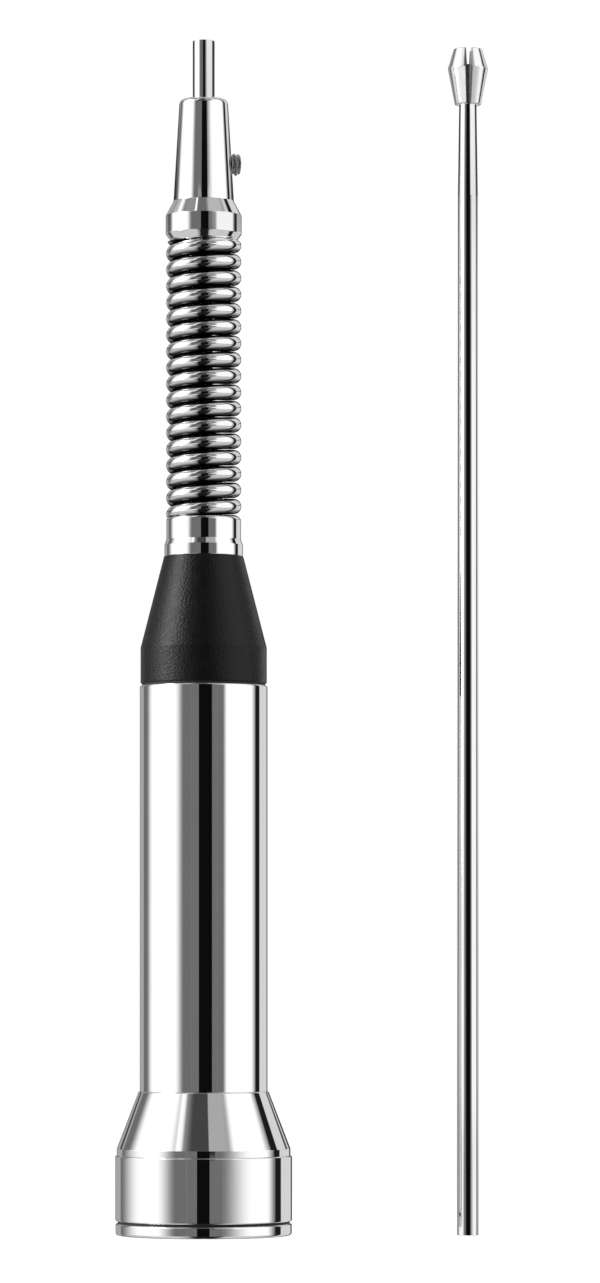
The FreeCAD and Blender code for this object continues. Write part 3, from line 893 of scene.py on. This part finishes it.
# A panel is its left, right, lower and upper edge as seen from the object, in degrees, then how soft
# those four edges are, and how bright it is. Azimuth 0 is towards the camera, positive to its right.
# A later panel covers an earlier one.
PANELS = [
    # ceiling to the left and right of the camera
    (-125, -44, 50, 95, (10, 8, 5, 5), 0.30),
    (22, 112, 50, 95, (10, 8, 5, 5), 0.50),
    # upper wall behind the camera, with two lit strips and a dark corner
    (-46, 40, 20, 58, (4, 5, 4, 4), 0.09),
    (-46, 40, 33, 47, (4, 5, 2, 2), 0.42),
    (-42, -32, 33, 76, (2.5, 2.5, 2, 7), 1.1),
    (-28, 9, 24, 56, (12, 0.8, 6, 5), 0.06),
    # left end of the backdrop and its dark edge
    (-200, -137, -90, 90, (2, 2, 5, 5), 0.40),
    (-200, -120, 30, 90, (2, 6, 5, 5), 0.60),
    (-138, -122, -90, 32, (2, 3, 5, 8), 0.16),
    (-138, -118, 40.15, 48, (3, 6, 0.3, 3), 0.2),
    # left softbox, fading towards the table
    (-114, -44, FADE, 48, (11, 9, 0.15, 3), 1.12),
    (-112, -50, -10, FADE, (24, 15, 3, 0.15), 1.12),
    # right softbox, fading towards the table
    (40, 103, FADE, 9, (4.5, 8, 0.15, 2), 1.1),
    (26, 103, 9, 25, (14, 8, 2, 2), 1.1),
    (43, 103, 25, 48, (7, 8, 2, 3), 1.1),
    (45, 100, -10, FADE, (24, 9, 3, 0.15), 1.1),
    # black card and the right end of the backdrop
    (108.5, 122.3, -90, 80, (1, 1, 5, 5), 0.012),
    (122.3, 200, -90, 90, (1, 1, 5, 5), 0.70),
    # dark wall round the camera, and the opening in it
    (WALL_LEFT, WALL_RIGHT, -6, 13, (1, 1, 1, 2), 0.004),
    (OPENING_LEFT, OPENING_RIGHT, FADE, 22, (0.8, 0.8, 0.15, 5), 0.004),
    (LOW_OPENING_LEFT, LOW_OPENING_RIGHT, -5, FADE, (0.8, 0.8, 1, 0.15), 0.004),
    # pale top of the table, dark straight below, then its lit edge, dark in the middle
    (-200, -26, -78, -13, (2, 14, 6, 4), 0.62),
    (28, 107, -78, -13, (14, 2, 6, 4), 0.62),
    (124, 200, -78, -13, (4, 2, 6, 4), 0.62),
    (-200, 200, -95, -76, (1, 1, 5, 6), 0.03),
    (-75, -14, -17, -9, (8, 4, 1.5, 1.5), 1.0),
    (25, 75, -17, -9, (4, 8, 1.5, 1.5), 0.6),
    (-17, 26, -90, -5, (4, 4, 5, 1.5), 0.012),
    # dark ends of the backdrop, level with the short rod
    (-200, -112, 8.2, 11, (2, 5, 1.3, 0.5), 0.04),
    (105, 200, 8.2, 11, (4, 2, 1.3, 0.5), 0.04),
    # dark stands behind the object
    (-152, -134, -90, -13, (3, 6, 5, 4), 0.05),
    (-176, -166, -90, 40, (2, 2, 5, 5), 0.03),
    (160, 176, -90, 40, (2, 5, 5, 5), 0.02),
]
ROOM_LEVEL = 0.16
BACKGROUND_LEVEL = 1.0

FLOOR_RADIUS = 0.24
FLOOR_THICKNESS = 0.002
FLOOR_DROP = 0.00002
FLOOR_ROUGHNESS = 0.9
FLOOR_LEVEL = 0.9

KEY_WIDTH = 0.5
KEY_HEIGHT = 0.9
KEY_POWER = 10.0
KEY_PLACE = (-1.1, -0.35, 0.55)
KEY_TARGET = (0, 0, 0.14)

FILL_DISTANCE = 0.8
FILL_BOTTOM = -0.084
FILL_TOP = 0.445
LOW_FILL_TOP = -0.01
FILL_LEVEL = 0.16
KEPT_DARK = ("whip_rod", "tip_split")

CAMERA_LENS = 149.0
CAMERA_SHIFT = 0.253
CAMERA_NEAR = 0.05
CAMERA_PLACE = (0.0212, -1.169, 0.0592)


def band(tree, value, low, high, soft_low, soft_high):
    """1 where a value lies between two edges and 0 elsewhere, with soft edges."""
    up = ranged(tree, value, low - soft_low, low + soft_low, 0.0, 1.0, smooth=True)
    down = ranged(tree, value, high - soft_high, high + soft_high, 1.0, 0.0, smooth=True)
    return math_node(tree, "MULTIPLY", up, down)


def build_world():
    """The panels as the metal mirrors them, and a white background for the camera."""
    world = bpy.data.worlds.new("studio")
    bpy.context.scene.world = world
    world.use_nodes = True
    tree = world.node_tree
    direction = tree.nodes.new("ShaderNodeSeparateXYZ")
    tree.links.new(tree.nodes.new("ShaderNodeTexCoord").outputs["Generated"], direction.inputs[0])
    toward = math_node(tree, "MULTIPLY", direction.outputs["Y"], -1.0)
    turn = math_node(tree, "ARCTAN2", direction.outputs["X"], toward)
    azimuth = math_node(tree, "DEGREES", turn)
    elevation = math_node(tree, "DEGREES", math_node(tree, "ARCSINE", direction.outputs["Z"]))
    level = ROOM_LEVEL
    for left, right, bottom, top, soft, bright in PANELS:
        mask = math_node(
            tree, "MULTIPLY",
            band(tree, azimuth, left, right, soft[0], soft[1]),
            band(tree, elevation, bottom, top, soft[2], soft[3]),
        )
        level = mixed_numbers(tree, mask, level, bright)
    seen = tree.nodes.new("ShaderNodeLightPath").outputs["Is Camera Ray"]
    shown = mixed_numbers(tree, seen, level, BACKGROUND_LEVEL)
    link(tree, shown, tree.nodes["Background"].inputs["Color"])


def build_floor():
    """A pale round table that keeps the object's shadow."""
    edge = FLOOR_RADIUS / MM
    underside = -FLOOR_THICKNESS / MM
    outline = [Vector((0, 0)), Vector((edge, 0)), Vector((edge, underside)), Vector((0, underside))]
    floor = turned("floor", outline, closed=False, segments=FLOOR_SEGMENTS)
    floor.location.z = -FLOOR_DROP
    # The metal doesn't mirror the floor: the table among the world's panels stands in for it there.
    floor.visible_glossy = False
    material, tree, shader, place = new_material("floor", metallic=0.0)
    speckle = noise(tree, place, scale=300.0, detail=3.0)
    coloured(tree, shader, speckle, (0.30, 0.30, 0.30), (0.31, 0.31, 0.31))
    shader.inputs["Roughness"].default_value = FLOOR_ROUGHNESS
    shader.inputs["Specular IOR Level"].default_value = 0.0
    path = tree.nodes.new("ShaderNodeLightPath")
    seen = math_node(tree, "MAXIMUM", path.outputs["Is Camera Ray"], path.outputs["Is Glossy Ray"])
    seen = math_node(tree, "MAXIMUM", seen, path.outputs["Is Transmission Ray"])
    shader.inputs["Emission Color"].default_value = (1, 1, 1, 1)
    link(tree, math_node(tree, "MULTIPLY", seen, FLOOR_LEVEL), shader.inputs["Emission Strength"])
    floor.data.materials.append(material)


def area_lamp(name, width, height, power):
    """A rectangular lamp, not yet placed."""
    panel = bpy.data.lights.new(name, "AREA")
    panel.shape = "RECTANGLE"
    panel.size = width
    panel.size_y = height
    panel.energy = power
    lamp = bpy.data.objects.new(name, panel)
    bpy.context.scene.collection.objects.link(lamp)
    return lamp


def build_light():
    """The key lamp, from the left and above."""
    lamp = area_lamp("key", KEY_WIDTH, KEY_HEIGHT, KEY_POWER)
    lamp.location = KEY_PLACE
    aim = Vector(KEY_TARGET) - lamp.location
    lamp.rotation_euler = aim.to_track_quat("-Z", "Y").to_euler()


def build_fill(name, left, right, top):
    """A dim panel beside the camera that lights the base and leaves the rod beside it dark there."""
    middle = math.radians((left + right) / 2)
    width = 2 * FILL_DISTANCE * math.tan(math.radians(right - left) / 2)
    height = top - FILL_BOTTOM
    lamp = area_lamp(name, width, height, FILL_LEVEL * math.pi * width * height)
    across = FILL_DISTANCE * math.sin(middle)
    towards = -FILL_DISTANCE * math.cos(middle)
    lamp.location = (across, towards, (FILL_BOTTOM + top) / 2)
    lamp.rotation_euler = (math.pi / 2, 0, middle)
    lamp.visible_camera = False
    lamp.visible_diffuse = False
    kept_dark = bpy.data.collections.new(name + "_kept_dark")
    for piece in KEPT_DARK:
        kept_dark.objects.link(bpy.data.objects[piece])
    for entry in kept_dark.collection_objects:
        entry.light_linking.link_state = "EXCLUDE"
    lamp.light_linking.receiver_collection = kept_dark


def build_camera():
    """A level camera before the object, as in the photograph."""
    data = bpy.data.cameras.new("camera")
    data.lens = CAMERA_LENS
    data.shift_y = CAMERA_SHIFT
    data.clip_start = CAMERA_NEAR
    camera = bpy.data.objects.new("camera", data)
    camera.location = CAMERA_PLACE
    camera.rotation_euler = (math.pi / 2, 0, 0)
    bpy.context.scene.collection.objects.link(camera)
    bpy.context.scene.camera = camera


build_coupling()
build_base()
build_spring()
build_holder()
build_screw()
build_whip()
dress_cad_nodes()
build_world()
build_floor()
build_light()
build_fill("left_fill", WALL_LEFT, OPENING_LEFT, FILL_TOP)
build_fill("right_fill", OPENING_RIGHT, WALL_RIGHT, FILL_TOP)
build_fill("low_fill", LOW_OPENING_RIGHT, OPENING_RIGHT, LOW_FILL_TOP)
build_camera()
bpy.context.scene.view_settings.view_transform = "Standard"
